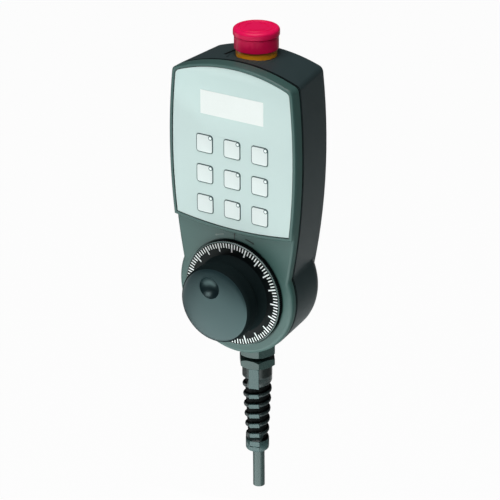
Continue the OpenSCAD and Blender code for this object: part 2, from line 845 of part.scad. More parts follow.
module gland_body() {
    color("#5d6b6b") difference() {
        union() {
            gland_hex(body_low_z, boss_low_z - seal_h, false);
            post_z(thread_r, body_low_z + 1, boss_top_z + 6);
            post_z(thread_r + 0.6, nut_top_z - nut_hex_h + 1.5, body_low_z + 1);
        }
        post_z(cable_r + 1, nut_top_z - nut_hex_h, boss_top_z + 7);
    }
}

module gland_locknut() {
    color("silver") translate([0, axis_y, boss_top_z]) difference() {
        cylinder(r = 12.5, h = 3.5, $fn = 6);
        translate([0, 0, -1]) cylinder(r = thread_r + slip / 2, h = 6);
    }
}

module gland_insert() {
    color("#0c1012") ring_at(cable_r + slip, cable_r + 1 - fit, body_low_z - 6, boss_low_z - 2);
}

module gland_nut() {
    color("#5d6b6b") difference() {
        union() {
            gland_hex(sleeve_z, nut_top_z, true);
            post_z(relief_r, relief_z, sleeve_z);
        }
        post_z(bore_r, relief_z - 1, nut_top_z + 1);
        post_z(thread_r + 0.6 + slip, sleeve_z + 1, nut_top_z + 1);
    }
}

// Section of the coil at one angle, between two heights, its outer corners turned by e_low and e_up
function strand(z_low, z_up, e_low, e_up) =
    let (share = min(1, max(0, (taper_z - z_low) / (taper_z - coil_low_z))),
         r = relief_r - 0.1 + (collar_end_r - relief_r) * share, inner = bore_r + 0.25, n = 4)
    concat([[inner + 0.4, z_low]],
           arc([r - e_low, z_low + e_low], e_low, -90, 0, n),
           arc([r - e_up, z_up - e_up], e_up, 0, 90, n),
           [[inner + 0.4, z_up], [inner, z_up - 0.4], [inner, z_low + 0.4]]);

module bend_spiral() {
    per_turn = 24;
    bury = 0.9;
    round_r = 1.8;
    hidden_r = 0.3;
    start = 268;
    slot_w = coil_pitch - coil_w;
    slot_turns = (ring_low_z - slot_w - coil_low_z) / coil_pitch;
    n = ceil((slot_turns + 1) * per_turn);
    foot = 1.8;
    color("#39464a") {
        skin([for (i = [0:n])
            let (turn = (slot_turns + 1) * i / n,
                 last = turn > slot_turns, first = turn < 1,
                 z_low = last ? coil_low_z - bury : ring_low_z + 0.1 - coil_pitch * turn,
                 z_up = first ? ring_low_z + bury
                              : ring_low_z - 0.1 - slot_w - coil_pitch * (turn - 1),
                 reach = (z_up - z_low) / 2 - 0.05)
            turned(strand(z_low, z_up, min(last ? hidden_r : round_r, reach),
                          min(first ? hidden_r : round_r, reach)), start - 360 * turn)]);
        ring_at(bore_r, relief_r, ring_low_z, relief_z);
        upright() polygon(concat(
            [[bore_r, relief_end_z]],
            arc([collar_end_r - foot, relief_end_z + foot], foot, -90, 0, 4),
            [[collar_end_r, coil_low_z], [bore_r, coil_low_z]]));
    }
}

module inner_lead() {
    color("#4d5b5d") post_z(cable_r, cable_route[0][2], wheel_z + encoder_r + 4);
}

module cable() {
    sides = 12;
    color("#4d5b5d") skin([for (p = cable_route)
        [for (j = [0:sides - 1]) let (a = -360 * j / sides)
            p + cable_r * [cos(a), sin(a), 0]]]);
}

front_shell();
rear_shell();
housing_seal();
housing_screws();
brass_inserts();
magnets();
magnet_screws();
keypad_film();
keypad_spacer();
keypad_circuit();
contact_domes();
main_board();
board_screws();
board_components();
terminal_block();
handwheel_knob();
dial_disc();
wheel_shaft();
encoder_bush();
bush_nut();
encoder_body();
encoder_cover();
code_disc();
encoder_board();
detent_ring();
detent_spring();
estop_head();
estop_stem();
estop_collar();
estop_gasket();
estop_body();
estop_nut();
estop_spring();
contact_block();
gland_seal();
gland_body();
gland_locknut();
gland_insert();
gland_nut();
bend_spiral();
inner_lead();
cable();
for (i = [1:keys]) key(i);
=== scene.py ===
import json
import math

import bpy
from mathutils import Matrix, Vector


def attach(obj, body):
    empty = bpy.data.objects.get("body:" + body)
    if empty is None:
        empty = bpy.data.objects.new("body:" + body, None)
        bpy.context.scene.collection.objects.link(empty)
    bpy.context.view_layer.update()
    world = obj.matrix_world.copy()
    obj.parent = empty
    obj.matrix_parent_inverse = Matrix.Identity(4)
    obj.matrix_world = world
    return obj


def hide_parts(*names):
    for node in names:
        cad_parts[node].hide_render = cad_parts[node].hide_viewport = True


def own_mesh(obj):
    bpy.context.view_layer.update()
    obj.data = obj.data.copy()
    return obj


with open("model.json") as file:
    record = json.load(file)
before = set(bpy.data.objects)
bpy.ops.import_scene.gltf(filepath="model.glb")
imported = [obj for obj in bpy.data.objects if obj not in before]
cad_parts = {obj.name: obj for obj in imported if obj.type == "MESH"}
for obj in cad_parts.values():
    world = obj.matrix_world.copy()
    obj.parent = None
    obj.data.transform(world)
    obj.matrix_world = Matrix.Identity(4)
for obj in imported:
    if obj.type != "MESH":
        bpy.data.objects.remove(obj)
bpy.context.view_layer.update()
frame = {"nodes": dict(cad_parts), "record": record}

mm = 0.001
nodes = frame["nodes"]
print("stage: frame loaded with", len(nodes), "nodes")


# Camera: as someone sees the pendant who holds it a little to the left and looks down at it
camera = {
    "azimuth": 32.649, "elevation": 23.860, "roll": -0.220, "distance": 1.7, "lens": 181.4,
    "target": (0, -0.0495, 0), "right": 0.01205, "down": 0.04711,
}


def placeCamera(values):
    turn, lift, roll = (math.radians(values[k]) for k in ("azimuth", "elevation", "roll"))
    back = Vector((math.sin(turn) * math.cos(lift), -math.cos(turn) * math.cos(lift),
                   math.sin(lift)))
    level = Vector((math.cos(turn), math.sin(turn), 0))
    upright = back.cross(level)
    right = level * math.cos(roll) + upright * math.sin(roll)
    up = upright * math.cos(roll) - level * math.sin(roll)
    place = Vector(values["target"]) + back * values["distance"]
    place += right * values["right"] - up * values["down"]
    bpy.ops.object.camera_add()
    eye = bpy.context.object
    eye.name = "eye"
    eye.matrix_world = Matrix.Translation(place) @ Matrix((right, up, back)).transposed().to_4x4()
    eye.data.lens = values["lens"]
    eye.data.sensor_width = 36
    eye.data.clip_end = 20
    bpy.context.scene.camera = eye


placeCamera(camera)


def linear(hexColour):
    parts = [int(hexColour[i:i + 2], 16) / 255 for i in (1, 3, 5)]
    return [p / 12.92 if p <= 0.04045 else ((p + 0.055) / 1.055) ** 2.4 for p in parts] + [1]


def addNode(tree, kind, settings=None, links=None):
    node = tree.nodes.new(kind)
    for key, value in (settings or {}).items():
        if isinstance(key, str) and hasattr(node, key):
            setattr(node, key, value)
        else:
            node.inputs[key].default_value = value
    for key, source in (links or {}).items():
        tree.links.new(source, node.inputs[key])
    return node


def newFinish(name):
    finish = bpy.data.materials.new(name)
    finish.use_nodes = True
    tree = finish.node_tree
    tree.nodes.clear()
    shader = addNode(tree, "ShaderNodeBsdfPrincipled")
    addNode(tree, "ShaderNodeOutputMaterial", links={"Surface": shader.outputs[0]})
    return finish, tree, shader


def grainedFinish(name, tone, pale, dark, rough, grain, depth, cloud=14, ior=1.5, coat=0.0,
                  glare="#ffffff"):
    # a moulded or rolled surface: two close tones in slow clouds, and a grain that gives bump
    # and breaks up the gloss; grain, depth and cloud are in mm, and glare tints the highlight
    finish, tree, shader = newFinish(name)
    place = addNode(tree, "ShaderNodeTexCoord").outputs["Object"]
    slow, fine = (
        addNode(tree, "ShaderNodeTexNoise",
                {"Scale": 1000 / size, "Detail": detail, "Roughness": edge}, {"Vector": place})
        for size, detail, edge in ((cloud, 3, 0.5), (grain, 4, 0.6)))
    drift = addNode(tree, "ShaderNodeMix", {"data_type": "RGBA", 6: linear(pale), 7: linear(dark)},
                    {0: slow.outputs["Fac"]})
    speck = addNode(tree, "ShaderNodeValToRGB", links={"Fac": fine.outputs["Fac"]})
    for stop, position, shade in zip(speck.color_ramp.elements, (0.32, 0.68), (0.86, 1.06)):
        stop.position = position
        stop.color = (shade, shade, shade, 1)
    both = addNode(tree, "ShaderNodeMix", {"data_type": "RGBA", "blend_type": "MULTIPLY", 0: tone},
                   {6: drift.outputs[2], 7: speck.outputs["Color"]})
    tree.links.new(both.outputs[2], shader.inputs["Base Color"])
    gloss = addNode(tree, "ShaderNodeMapRange", {"From Min": 0.3, "From Max": 0.7,
                    "To Min": rough - 0.05, "To Max": rough + 0.06}, {"Value": fine.outputs["Fac"]})
    tree.links.new(gloss.outputs[0], shader.inputs["Roughness"])
    bump = addNode(tree, "ShaderNodeBump", {"Strength": 0.35, "Distance": depth * mm},
                   {"Height": fine.outputs["Fac"]})
    tree.links.new(bump.outputs[0], shader.inputs["Normal"])
    shader.inputs["IOR"].default_value = ior
    shader.inputs["Specular Tint"].default_value = linear(glare)
    shader.inputs["Coat Weight"].default_value = coat
    return finish


def metalFinish(name, colour, rough, stroke, axis):
    # brushed or plated metal: streaks across the axis change the gloss; stroke is their width in mm
    finish, tree, shader = newFinish(name)
    place = addNode(tree, "ShaderNodeTexCoord").outputs["Object"]
    stretch = [1000 / stroke] * 3
    stretch[axis] = 1000 / (stroke * 30)
    spread = addNode(tree, "ShaderNodeMapping", {"Scale": stretch}, {"Vector": place})
    streak = addNode(tree, "ShaderNodeTexNoise", {"Scale": 1.0, "Detail": 3},
                     {"Vector": spread.outputs[0]})
    gloss = addNode(tree, "ShaderNodeMapRange", {"To Min": rough - 0.08, "To Max": rough + 0.12},
                    {"Value": streak.outputs["Fac"]})
    tree.links.new(gloss.outputs[0], shader.inputs["Roughness"])
    tint = addNode(tree, "ShaderNodeMix", {"data_type": "RGBA", 6: linear(colour),
                   7: [0.85 * c for c in linear(colour)[:3]] + [1]}, {0: streak.outputs["Fac"]})
    tree.links.new(tint.outputs[2], shader.inputs["Base Color"])
    shader.inputs["Metallic"].default_value = 1.0
    return finish


# Glass-filled polyamide with a spark-eroded grain: dark grey with a little green, a broken sheen
housingPolyamide = grainedFinish("grainedPolyamide", 0.7, "#3b5a55", "#35524e", 0.42, 0.7, 0.05)
# The rear shell takes a darker copy of the same polyamide: painted shade
rearShadePolyamide = grainedFinish("grainedPolyamideRearPaintedShade", 0.7, "#28393b", "#223234", 0.46, 0.7, 0.05)
# The knob is the same polyamide, near black, rubbed smoother by hands: a wide blue-green sheen
knobPolyamide = grainedFinish("satinPolyamide", 0.5, "#102226", "#0d1d21", 0.38, 0.5, 0.02,
                              ior=1.56, glare="#deffff")
# Side and crown of the knob: a darker, duller copy of the knob's polyamide, painted shade where it
# turns from the light
knobShadeSide = grainedFinish("mattPolyamidePaintedShade", 0.5, "#121b1c", "#0f1819", 0.7, 0.5, 0.04, ior=1.1)
# Black anodised aluminium: nearly no colour of its own, a tight sheen
dialAnodised = grainedFinish("blackAnodised", 0.5, "#090e0f", "#070b0c", 0.4, 0.4, 0.01, ior=1.2)
# Pale grey painted highlight on the chamfer at the dial's front edge, and on the left turning arrow
dialEdgeHighlight = grainedFinish("dialEdgePaintedHighlight", 0.6, "#6f817e", "#5a6a68", 0.4, 0.5, 0.02)
# Screen-printed ink: flat, slightly raised, no gloss
whiteInk = grainedFinish("whiteScreenInk", 0.1, "#ffffff", "#fbfdfc", 0.6, 0.3, 0.01)
# The dark ink is also painted as shade round the film's edge
darkInkAndShade = grainedFinish("darkScreenInkAndPaintedShade", 0.3, "#141f1f", "#101919", 0.55, 0.3, 0.01)
keyInk = grainedFinish("keyOutlineInk", 0.3, "#43575a", "#3b4e50", 0.55, 0.3, 0.01)
# Polyester overlay film: pale, satin, with the faintest texture
overlayFilm = grainedFinish("polyesterFilm", 0.25, "#c2cfcd", "#becbc9", 0.5, 0.5, 0.01,
                            cloud=40)
keyFilm = grainedFinish("keyFilm", 0.25, "#dcdfde", "#d6d9d8", 0.45, 0.5, 0.01)
labelFilm = grainedFinish("labelFilm", 0.25, "#e9e8e6", "#e4e3e1", 0.42, 0.5, 0.01)
ledWindow = grainedFinish("frostedWindow", 0.3, "#eef3f1", "#e4eae8", 0.25, 0.4, 0.01, coat=0.3)
# Stop head: moulded acetal, a deep clean red with a soft highlight
stopRed = grainedFinish("mouldedAcetalRed", 0.2, "#f00758", "#e50650", 0.38, 0.6, 0.01, ior=1.33)
collarYellow = grainedFinish("mouldedAmber", 0.3, "#ffa816", "#f09a10", 0.32, 0.6, 0.01)
# Gland, and the rib and end collar of the bend guard: satin polyamide, mid grey with a sheen
glandPolyamide = grainedFinish("glandPolyamide", 0.5, "#334946", "#2d413e", 0.25, 0.5, 0.02)
# The gland's sleeve and the guard's strands, away from the flat rib: darker copies of the gland's
# and the coil's polyamide, near black with a soft sheen, as painted shade
sleeveShadePolyamide = grainedFinish("sleevePolyamidePaintedShade", 0.5, "#17201f", "#141b1a", 0.3, 0.5, 0.01,
                                ior=1.4)
strandShadePolyamide = grainedFinish("strandShadePolyamide", 0.5, "#232f2f", "#1e2929", 0.27, 0.5, 0.02,
                                ior=1.45)
coilPolyamide = grainedFinish("coilPolyamide", 0.5, "#425a5a", "#3b5151", 0.27, 0.5, 0.02)
# Extruded cable sheath: a shade darker than the guard, with the coarser skin of soft PVC
sheathFinish = grainedFinish("pvcSheath", 0.5, "#3c4e4c", "#354644", 0.27, 0.9, 0.02)
# Slots of the bend guard and its core: matt, and painted near black as the shade in the narrow
# slots
slotShadePolyamide = grainedFinish("slotShadePolyamide", 0.5, "#060909", "#050707", 0.6, 0.5, 0.03, ior=1.15)
# Seal: dead black rubber, so that the joint line reads as a gap; the same black is painted as shade
# beside the seam, in the gap round the dial and on the key slot bar
sealRubberAndShade = grainedFinish("blackElastomerAndPaintedShade", 0.5, "#060909", "#050707", 0.6, 0.6, 0.03, ior=1.15)
# Inside pieces: plain moulded plastics, a lacquered board, plated steel and turned brass
innerPlastic = grainedFinish("plainAbs", 0.4, "#e3ded0", "#dad5c6", 0.5, 0.6, 0.02)
darkPlastic = grainedFinish("blackAbs", 0.5, "#20262a", "#1a2023", 0.45, 0.6, 0.02)
greenPlastic = grainedFinish("terminalGreen", 0.4, "#3c8f5c", "#348351", 0.42, 0.6, 0.02)
boardLaminate = grainedFinish("solderMaskLaminate", 0.5, "#2f6b4a", "#275d3f", 0.3, 0.8, 0.01,
                              coat=0.3)
zincSteel = metalFinish("zincPlatedSteel", "#c3c7c8", 0.32, 0.25, 0)
turnedBrass = metalFinish("turnedBrass", "#c9a24a", 0.3, 0.25, 1)

slotFinish = {
    "housing": housingPolyamide, "seal": sealRubberAndShade, "film": overlayFilm, "key_cap": keyFilm,
    "inner_plastic": innerPlastic, "board": boardLaminate, "dark_plastic": darkPlastic,
    "terminal_green": greenPlastic, "knob_plastic": knobPolyamide, "dial_black": dialAnodised,
    "steel": zincSteel, "brass": turnedBrass, "stop_red": stopRed, "collar_yellow": collarYellow,
    "gland_plastic": glandPolyamide, "coil_plastic": coilPolyamide, "sheath": sheathFinish,
}
for entry in frame["record"]["subparts"]:
    solid = nodes[entry["node"]].data
    solid.materials.clear()
    solid.materials.append(slotFinish[entry["material_slot"]])
# painted shade: the rear shell gets the darker copy of the housing's polyamide
nodes["rear_shell"].data.materials[0] = rearShadePolyamide
print("stage: finishes made")


cable = {
    "diameter": 8.5, "exit": (0, -18.5, -140),
    "route": [(0, -18.5, -140), (0, -18.5, -147), (0.05, -18.5, -154), (0.1, -18.5, -161),
              (0.15, -18.5, -168), (0.25, -18.5, -175), (0.35, -18.5, -182), (0.5, -18.5, -189),
              (0.65, -18.5, -196), (0.8, -18.5, -203), (0.95, -18.5, -210), (1.05, -18.5, -217),
              (1.1, -18.5, -224), (1.15, -18.5, -231), (1.2, -18.5, -239), (1.2, -18.5, -247.7)],
}


def makeCable(values):
    line = bpy.data.curves.new("cable_sheath", "CURVE")
    line.dimensions = "3D"
    line.bevel_depth = values["diameter"] / 2 * mm
    line.bevel_resolution = 8
    line.use_fill_caps = True
    spline = line.splines.new("POLY")
    spline.points.add(len(values["route"]) - 1)
    for point, place in zip(spline.points, values["route"]):
        point.co = [c * mm for c in place] + [1]
    sheath = bpy.data.objects.new("cable_sheath", line)
    bpy.context.scene.collection.objects.link(sheath)
    line.materials.append(sheathFinish)
    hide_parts("cable")
    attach(sheath, "housing")


makeCable(cable)
print("stage: cable laid")


def letGo():
    # object mode and nothing selected, before any operator
    if bpy.context.object and bpy.context.object.mode != "OBJECT":
        bpy.ops.object.mode_set(mode="OBJECT")
    bpy.ops.object.select_all(action="DESELECT")


def take(*pieces):
    letGo()
    for piece in pieces:
        piece.select_set(True)
    bpy.context.view_layer.objects.active = pieces[0]


def pick(piece, test, kind="FACE"):
    # selects faces or edges of the piece by their place, and leaves it in edit mode
    take(piece)
    bpy.ops.object.mode_set(mode="EDIT")
    bpy.ops.mesh.select_mode(type=kind)
    bpy.ops.mesh.select_all(action="DESELECT")
    bpy.ops.object.mode_set(mode="OBJECT")
    mesh = piece.data
    if kind == "FACE":
        for face in mesh.polygons:
            face.select = test(face.center, face.normal)
    else:
        for edge in mesh.edges:
            edge.select = test(*(mesh.vertices[i].co for i in edge.vertices))
    bpy.ops.object.mode_set(mode="EDIT")


def paint(piece, finish, test):
    # gives the faces that pass the test their own finish
    piece.data.materials.append(finish)
    slot = len(piece.data.materials) - 1
    for face in piece.data.polygons:
        if test(face.center, face.normal):
            face.material_index = slot


def settle(piece, angle=30, flip=True):
    # place goes into the mesh, doubles merge, normals point outwards, smooth up to the angle
    take(piece)
    bpy.ops.object.transform_apply(location=True, rotation=True, scale=True)
    bpy.ops.object.mode_set(mode="EDIT")
    bpy.ops.mesh.select_all(action="SELECT")
    bpy.ops.mesh.remove_doubles(threshold=0.000002)
    if flip:
        bpy.ops.mesh.normals_make_consistent(inside=False)
    bpy.ops.object.mode_set(mode="OBJECT")
    bpy.ops.object.shade_smooth_by_angle(angle=math.radians(angle))
    return piece


def evenNormals(piece):
    # large flats keep their own normal beside a rounded edge
    take(piece)
    weighted = piece.modifiers.new("evenNormals", "WEIGHTED_NORMAL")
    weighted.keep_sharp = True
    weighted.weight = 100
    bpy.ops.object.modifier_apply(modifier=weighted.name)
    return piece


def softenEdges(piece, width, steps=3, angle=30):
    take(piece)
    bevel = piece.modifiers.new("softEdges", "BEVEL")
    bevel.width = width * mm
    bevel.segments = steps
    bevel.limit_method = "ANGLE"
    bevel.angle_limit = math.radians(angle)
    bevel.harden_normals = False
    bpy.ops.object.modifier_apply(modifier=bevel.name)
    return piece


def joined(name, pieces):
    take(*pieces)
    bpy.ops.object.join()
    whole = bpy.context.object
    whole.name = name
    return whole


def turnedPiece(name, rings, steps, place, facing="UP"):
    # a turned piece: a circle, then extruded and scaled ring by ring along (radius, height) in mm
    letGo()
    radius, height = rings[0]
    bpy.ops.mesh.primitive_circle_add(vertices=steps, radius=radius * mm,
                                      location=(0, 0, height * mm))
    piece = bpy.context.object
    piece.name = name
    take(piece)
    bpy.ops.object.transform_apply(location=True, rotation=False, scale=False)
    bpy.ops.object.mode_set(mode="EDIT")
    bpy.ops.mesh.select_mode(type="EDGE")
    bpy.ops.mesh.select_all(action="SELECT")
    for nextRadius, nextHeight in rings[1:]:
        bpy.ops.mesh.extrude_edges_move(
            TRANSFORM_OT_translate={"value": (0, 0, (nextHeight - height) * mm)})
        grow = nextRadius / radius
        bpy.ops.transform.resize(value=(grow, grow, 1), center_override=(0, 0, nextHeight * mm))
        radius, height = nextRadius, nextHeight
    bpy.ops.mesh.select_mode(type="EDGE")
    bpy.ops.mesh.select_all(action="SELECT")
    bpy.ops.mesh.region_to_loop()
    bpy.ops.mesh.fill_holes(sides=0)
    bpy.ops.object.mode_set(mode="OBJECT")
    if facing == "FRONT":
        piece.rotation_euler = (math.pi / 2, 0, 0)
    piece.location = [c * mm for c in place]
    return piece


def roundCorner(radius, height, size, start, stop, steps):
    # points of a rounded edge: centre at (radius, height), angles in degrees
    turns = [math.radians(start + (stop - start) * i / steps) for i in range(steps + 1)]
    return [(radius + size * math.cos(turn), height + size * math.sin(turn)) for turn in turns]


def bentArrow(steps, point, bar, head, tip, placeAt, lift):
    # an arrow bent along an arc: a bar, then a wide point over its last steps. placeAt gives the
    # place of a share of its length and an offset from its middle line; lift raises its face
    letGo()
    bpy.ops.mesh.primitive_grid_add(x_subdivisions=steps, y_subdivisions=1, size=1,
                                    location=(0, 0, 0))
    arrow = bpy.context.object
    for vertex in arrow.data.vertices:
        along = vertex.co.x + 0.5
        side = 1 if vertex.co.y > 0 else -1
        isBar = along * steps <= steps - point + 0.01
        width = bar if isBar else head * (1 - along) * steps / point + tip
        vertex.co = placeAt(along, side * width / 2)
    take(arrow)
    bpy.ops.object.mode_set(mode="EDIT")
    bpy.ops.mesh.select_all(action="SELECT")
    bpy.ops.mesh.extrude_region_move(TRANSFORM_OT_translate={"value": lift})
    bpy.ops.object.mode_set(mode="OBJECT")
    return arrow


def mergedCopy(node, name, angle=30, flatten=True):
    # a CAD solid's own shape, its loose triangles joined so that it can be shaded smooth
    source = nodes[node]
    piece = bpy.data.objects.new(name, source.data.copy())
    bpy.context.scene.collection.objects.link(piece)
    settle(piece, angle, flip=False)
    if flatten:
        bpy.ops.object.mode_set(mode="EDIT")
        bpy.ops.mesh.select_all(action="SELECT")
        bpy.ops.mesh.dissolve_limited(angle_limit=math.radians(0.4), use_dissolve_boundaries=False)
        bpy.ops.object.mode_set(mode="OBJECT")
    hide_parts(node)
    return piece


housing = {
    "axisZ": -84, "gapFrom": 38.3, "gapTo": 39.2, "gapDepth": -46.7, "flatFrom": 0.999,
    "markFace": -46.8, "markLift": 0.2, "markWidth": 0.75, "markHead": 2.4, "markTip": 0.03,
    "markRadius": 42.4, "markFrom": 12, "markTo": 22, "markSteps": 12, "markPoint": 3,
    "indexFrom": -44.4, "indexTo": -39.6,
    "slotAt": (-17.1, -24.2), "slotSize": (11.5, 2.4), "slotTurn": 82, "slotLift": 0.12,
    "seamFront": (-41.0, -41.8), "seamRear": (-40.2, -39.5), "seamEdge": 0.05,
}


def makeMarks(values):
    # raised marks above the dial: an index bar and a turning arrow to each side; the left arrow is
    # painted pale as a highlight, the right one and the index bar are dark ink
    faceY, lift = values["markFace"] * mm, values["markLift"] * mm
    letGo()
    low, high = values["indexFrom"], values["indexTo"]
    bpy.ops.mesh.primitive_cube_add(size=1, location=(0, faceY, (low + high) / 2 * mm))
    index = bpy.context.object
    index.scale = (values["markWidth"] * mm, 2 * lift, (high - low) * mm)
    index.data.materials.append(darkInkAndShade)
    marks = [settle(index)]
    sweep = values["markTo"] - values["markFrom"]
    # the left arrow's pale finish is a painted highlight
    for side, finish in ((-1, dialEdgeHighlight), (1, darkInkAndShade)):
        def placeAt(along, offset):
            radius = values["markRadius"] + offset
            angle = side * math.radians(values["markFrom"] + sweep * along)
            return (radius * math.sin(angle) * mm, faceY,
                    (values["axisZ"] + radius * math.cos(angle)) * mm)
        arrow = bentArrow(values["markSteps"], values["markPoint"], values["markWidth"],
                          values["markHead"], values["markTip"], placeAt, (0, -lift, 0))
        arrow.data.materials.append(finish)
        marks.append(settle(arrow))
    marks = joined("dial_marks", marks)
    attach(marks, "housing")


def seamBand(piece, values, near, far):
    # the seam shows as one dark line: the strip of the shell next to it is painted black as its
    # shadow
    take(piece)
    bpy.ops.object.mode_set(mode="EDIT")
    bpy.ops.mesh.select_all(action="SELECT")
    bpy.ops.mesh.bisect(plane_co=(0, far * mm, 0), plane_no=(0, 1, 0))
    bpy.ops.object.mode_set(mode="OBJECT")
    low, high = sorted((near * mm, far * mm))
    edge = values["seamEdge"] * mm
    paint(piece, sealRubberAndShade, lambda c, n: low - edge < c.y < high + edge and abs(n.y) < 0.9)


def settleShell(piece, values):
    # the plain front and back faces stay flat, the rest is smooth
    settle(piece, flip=False)
    for face in piece.data.polygons:
        face.use_smooth = abs(face.normal.y) < values["flatFrom"]
    evenNormals(piece)


def makeFrontShell(values):
    shell = mergedCopy("front_shell", "front_shell_moulding", flatten=False)
    makeMarks(values)
    seamBand(shell, values, *values["seamFront"])

    def inDialGapShade(centre, normal):
        # the walls and floor of the gap round the dial are painted black as shade
        radius = math.hypot(centre.x, centre.z - values["axisZ"] * mm)
        isRing = values["gapFrom"] * mm < radius < values["gapTo"] * mm
        return isRing and centre.y > values["gapDepth"] * mm
    paint(shell, sealRubberAndShade, inDialGapShade)
    settleShell(shell, values)
    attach(shell, "housing")


def makeSlotMark(shell, values):
    # a dark bar laid on the curved top beside the stop's collar: painted shade that stands for a
    # key slot, which is not cut in
    (x, y), (length, width) = values["slotAt"], values["slotSize"]
    turn = math.radians(values["slotTurn"])
    along = Vector((math.cos(turn), math.sin(turn), 0))
    across = Vector((-math.sin(turn), math.cos(turn), 0))

    def topAt(offset):
        start = Vector((x, y, 200)) + offset
        return shell.ray_cast(start * mm, Vector((0, 0, -1)))[1]
    left, right = topAt(-along * length / 2), topAt(along * length / 2)
    ends = right - left
    sides = topAt(across * width / 2) - topAt(-across * width / 2)
    up = ends.cross(sides).normalized()
    letGo()
    bpy.ops.mesh.primitive_cube_add(size=1)
    mark = bpy.context.object
    mark.name = "key_slot_shade"
    axes = Matrix((ends.normalized(), up.cross(ends.normalized()), up)).transposed().to_4x4()
    size = Matrix.Diagonal((length * mm, width * mm, values["slotLift"] * 2 * mm, 1))
    mark.matrix_world = Matrix.Translation((right + left) / 2) @ axes @ size
    mark.data.materials.append(sealRubberAndShade)
    settle(mark)
    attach(mark, "housing")


def makeRearShell(values):
    shell = mergedCopy("rear_shell", "rear_shell_moulding", flatten=False)
    # the darker copy of the housing's polyamide is painted shade
    shell.data.materials.clear()
    shell.data.materials.append(rearShadePolyamide)
    seamBand(shell, values, *values["seamRear"])
    settleShell(shell, values)
    makeSlotMark(shell, values)
    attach(shell, "housing")


makeFrontShell(housing)
makeRearShell(housing)
print("stage: housing done")


keypad = {
    "pitch": 22, "cap": 13, "corner": 2.0, "front": -49.8, "back": -48.9,
    "outline": 0.42, "crown": 0.12, "crownRim": 0.5, "cornerInk": 1.1,
    "windowAt": 4.75, "windowRing": 1.55, "ringLift": 0.03, "window": 1.0, "paneLift": 0.06,
    "windowSunk": 0.15, "windowRound": 0.03,
    "labelLow": (-25, 43.5), "labelHigh": (25, 60.5), "labelThick": 0.12, "labelRound": 0.03,
    "film": -49.5, "border": 0.5, "borderClear": 2,
}


def makeWindow(values, radius, lift, finish):
    proud = values["front"] - values["crown"]
    sunk, edge = values["windowSunk"], values["windowRound"]
    rings = [(radius, 0), (radius, lift + sunk), (radius - edge, lift + sunk + edge)]
    disc = turnedPiece("window", rings, 32, (values["windowAt"], proud + sunk, values["windowAt"]),
                       "FRONT")
    disc.data.materials.append(finish)
    return disc


def makeKey(values):
    # a crowned square with an outline and a small round window, made at the middle key's place
    half = values["cap"] / 2 * mm
    front, back = values["front"], values["back"]
    letGo()
    bpy.ops.mesh.primitive_cube_add(size=1, location=(0, (front + back) / 2 * mm, 0))
    cap = bpy.context.object
    cap.scale = (2 * half, (back - front) * mm, 2 * half)
    take(cap)
    bpy.ops.object.transform_apply(location=True, rotation=True, scale=True)
    pick(cap, lambda a, b: abs(a.y - b.y) > 0.5 * mm, "EDGE")
    bpy.ops.mesh.bevel(offset=values["corner"] * mm, segments=8)
    pick(cap, lambda centre, normal: normal.y < -0.9 and centre.y < (front + 0.2) * mm)
    bpy.ops.mesh.inset(thickness=values["outline"] * mm, depth=0)
    bpy.ops.mesh.inset(thickness=values["crownRim"] * mm, depth=values["crown"] * mm)
    bpy.ops.object.mode_set(mode="OBJECT")
    cap.data.materials.append(keyFilm)
    edge = half - values["outline"] * mm
    corner = 2 * edge - values["cornerInk"] * mm

    def inOutline(centre, normal):
        x, z = abs(centre.x), abs(centre.z)
        return normal.y > -0.5 or max(x, z) > edge or (x + z > corner and normal.y < -0.9999)
    paint(cap, keyInk, inOutline)
    parts = [cap, makeWindow(values, values["windowRing"], values["ringLift"], keyInk),
             makeWindow(values, values["window"], values["paneLift"], ledWindow)]
    for piece in parts:
        settle(piece, 30)
    return joined("key_cap_1", parts)


def makeKeypad(values):
    # nine caps in rows of three from the upper left, each with a mesh of its own
    first = makeKey(values)
    caps = [first]
    for number in range(2, 10):
        cap = first.copy()
        cap.data = first.data.copy()
        cap.name = "key_cap_" + str(number)
        bpy.context.scene.collection.objects.link(cap)
        caps.append(cap)
    pitch = values["pitch"] * mm
    for number, cap in enumerate(caps):
        row, column = divmod(number, 3)
        cap.location = ((column - 1) * pitch, 0, (1 - row) * pitch)
        take(cap)
        bpy.ops.object.transform_apply(location=True, rotation=False, scale=False)
        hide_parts("key_" + str(number + 1))
        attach(cap, "key_" + str(number + 1) + "_body")


def makeLabel(values):
    # the label area is a bare plate of its own, a shade warmer than the film
    (x0, z0), (x1, z1) = values["labelLow"], values["labelHigh"]
    letGo()
    bpy.ops.mesh.primitive_cube_add(size=1, location=(
        (x0 + x1) / 2 * mm, (values["film"] - 0.02) * mm, (z0 + z1) / 2 * mm))
    plate = bpy.context.object
    plate.name = "bare_label"
    plate.scale = ((x1 - x0) * mm, values["labelThick"] * mm, (z1 - z0) * mm)
    settle(plate)
    softenEdges(plate, values["labelRound"], 1)
    plate.data.materials.append(labelFilm)
    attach(plate, "housing")


def makeFilm(values):
    # the overlay film keeps the solid's outline and gets a dark line round its edge, painted shade
    # along the edge
    film = mergedCopy("keypad_film", "overlay_film")
    pick(film, lambda c, n: n.y < -0.9)
    bpy.ops.mesh.inset(thickness=values["border"] * mm, depth=0, use_boundary=True,
                       use_even_offset=True)
    bpy.ops.object.mode_set(mode="OBJECT")
    # the border ring away from the keys takes the dark ink as painted shade
    film.data.materials.append(darkInkAndShade)
    reach = (values["pitch"] + values["cap"] / 2 + values["borderClear"]) * mm
    for face in film.data.polygons:
        overKeys = abs(face.center.x) < reach and abs(face.center.z) < reach
        if not face.select and not overKeys:
            face.material_index = 1
    settle(film, 20, flip=False)
    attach(film, "housing")


makeKeypad(keypad)
makeLabel(keypad)
makeFilm(keypad)
print("stage: keypad done")


